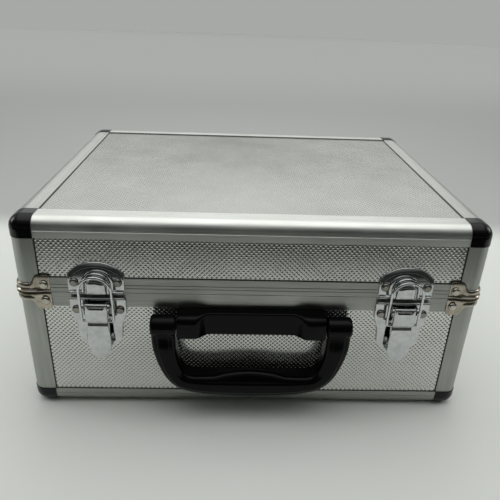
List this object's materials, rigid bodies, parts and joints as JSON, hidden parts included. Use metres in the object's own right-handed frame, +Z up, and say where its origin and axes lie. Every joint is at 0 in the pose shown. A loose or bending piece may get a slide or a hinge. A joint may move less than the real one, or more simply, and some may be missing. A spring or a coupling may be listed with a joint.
{
  "type": "attache case",
  "caption": "Hard carrying case with framed embossed metal panels, a hinged lid, draw latches, a swing handle and a foam-lined inside.",
  "frame": {"origin": "centre of the whole envelope, latched and with the handle hanging, on the surface the case stands on", "axes": "+X to the right as seen from the handle side, -Y towards the handle side, +Z up through the lid"},
  "size_m": [0.3352, 0.2886, 0.1555],
  "materials": {
    "panel_facing": "embossed anodised sheet",
    "frame_aluminium": "satin anodised extrusion",
    "rim_aluminium": "satin anodised extrusion",
    "corner_plastic": "moulded, glossy",
    "bracket_nickel": "nickel plate",
    "rivet_nickel": "nickel plate",
    "latch_chrome": "bright chrome plate",
    "latch_wire": "bright wire",
    "pin_steel": "plain steel",
    "hinge_steel": "nickel plate",
    "handle_plastic": "satin moulded",
    "lining_cloth": "thin felt-faced foam",
    "foam": "open-cell foam"
  },
  "bodies": {
    "base": {"base_bottom_panel": "panel_facing", "base_bracket_rivets": "rivet_nickel", "base_corner_brackets": "bracket_nickel", "base_corner_caps": "corner_plastic", "base_corner_posts": "frame_aluminium", "base_edge_front": "frame_aluminium", "base_edge_left": "frame_aluminium", "base_edge_rear": "frame_aluminium", "base_edge_right": "frame_aluminium", "base_floor_pad": "foam", "base_front_panel": "panel_facing", "base_left_panel": "panel_facing", "base_lining": "lining_cloth", "base_rear_panel": "panel_facing", "base_right_panel": "panel_facing", "base_rim_front": "rim_aluminium", "base_rim_left": "rim_aluminium", "base_rim_rear": "rim_aluminium", "base_rim_right": "rim_aluminium", "handle_bracket": "handle_plastic", "handle_bracket_screws": "pin_steel", "handle_pivot_pins": "pin_steel", "hinge_base_leaves": "hinge_steel", "hinge_base_rivets": "rivet_nickel", "hinge_pins": "pin_steel", "latch_pivot_pins": "pin_steel", "latch_plate_left": "latch_chrome", "latch_plate_right": "latch_chrome", "latch_plate_rivets": "rivet_nickel"},
    "lid": {"hinge_lid_leaves": "hinge_steel", "hinge_lid_rivets": "rivet_nickel", "latch_catch_left": "latch_chrome", "latch_catch_right": "latch_chrome", "latch_catch_rivets": "rivet_nickel", "lid_bracket_rivets": "rivet_nickel", "lid_corner_brackets": "bracket_nickel", "lid_corner_caps": "corner_plastic", "lid_corner_posts": "frame_aluminium", "lid_edge_front": "frame_aluminium", "lid_edge_left": "frame_aluminium", "lid_edge_rear": "frame_aluminium", "lid_edge_right": "frame_aluminium", "lid_foam": "foam", "lid_front_panel": "panel_facing", "lid_left_panel": "panel_facing", "lid_lining": "lining_cloth", "lid_rear_panel": "panel_facing", "lid_right_panel": "panel_facing", "lid_rim_front": "rim_aluminium", "lid_rim_left": "rim_aluminium", "lid_rim_rear": "rim_aluminium", "lid_rim_right": "rim_aluminium", "lid_top_panel": "panel_facing"},
    "handle": {"handle_grip": "handle_plastic"},
    "latch_lever_left": {"latch_lever_left": "latch_chrome"},
    "latch_lever_right": {"latch_lever_right": "latch_chrome"},
    "latch_bail_left": {"latch_bail_left": "latch_wire"},
    "latch_bail_right": {"latch_bail_right": "latch_wire"}
  },
  "joints": [
    {"name": "lid_hinge", "type": "hinge", "parent": "base", "child": "lid", "pos_m": [0, 0.1371, 0.0995], "axis": [-1, 0, 0], "range_deg": [0, 97]},
    {"name": "handle_hinge", "type": "hinge", "parent": "base", "child": "handle", "pos_m": [0, -0.1347, 0.079], "axis": [-1, 0, 0], "range_deg": [0, 100]},
    {"name": "latch_lever_left_hinge", "type": "hinge", "parent": "base", "child": "latch_lever_left", "pos_m": [-0.109, -0.1325, 0.0916], "axis": [-1, 0, 0], "range_deg": [0, 150]},
    {"name": "latch_bail_left_hinge", "type": "hinge", "parent": "latch_lever_left", "child": "latch_bail_left", "pos_m": [-0.109, -0.1313, 0.0792], "axis": [-1, 0, 0], "range_deg": [-180, 0]},
    {"name": "latch_lever_right_hinge", "type": "hinge", "parent": "base", "child": "latch_lever_right", "pos_m": [0.109, -0.1325, 0.0916], "axis": [-1, 0, 0], "range_deg": [0, 150]},
    {"name": "latch_bail_right_hinge", "type": "hinge", "parent": "latch_lever_right", "child": "latch_bail_right", "pos_m": [0.109, -0.1313, 0.0792], "axis": [-1, 0, 0], "range_deg": [-180, 0]}
  ],
  "couplings": [
    {"joint": "latch_bail_left_hinge", "follows": "latch_lever_left_hinge", "ratio": -1.2},
    {"joint": "latch_bail_right_hinge", "follows": "latch_lever_right_hinge", "ratio": -1.2}
  ]
}
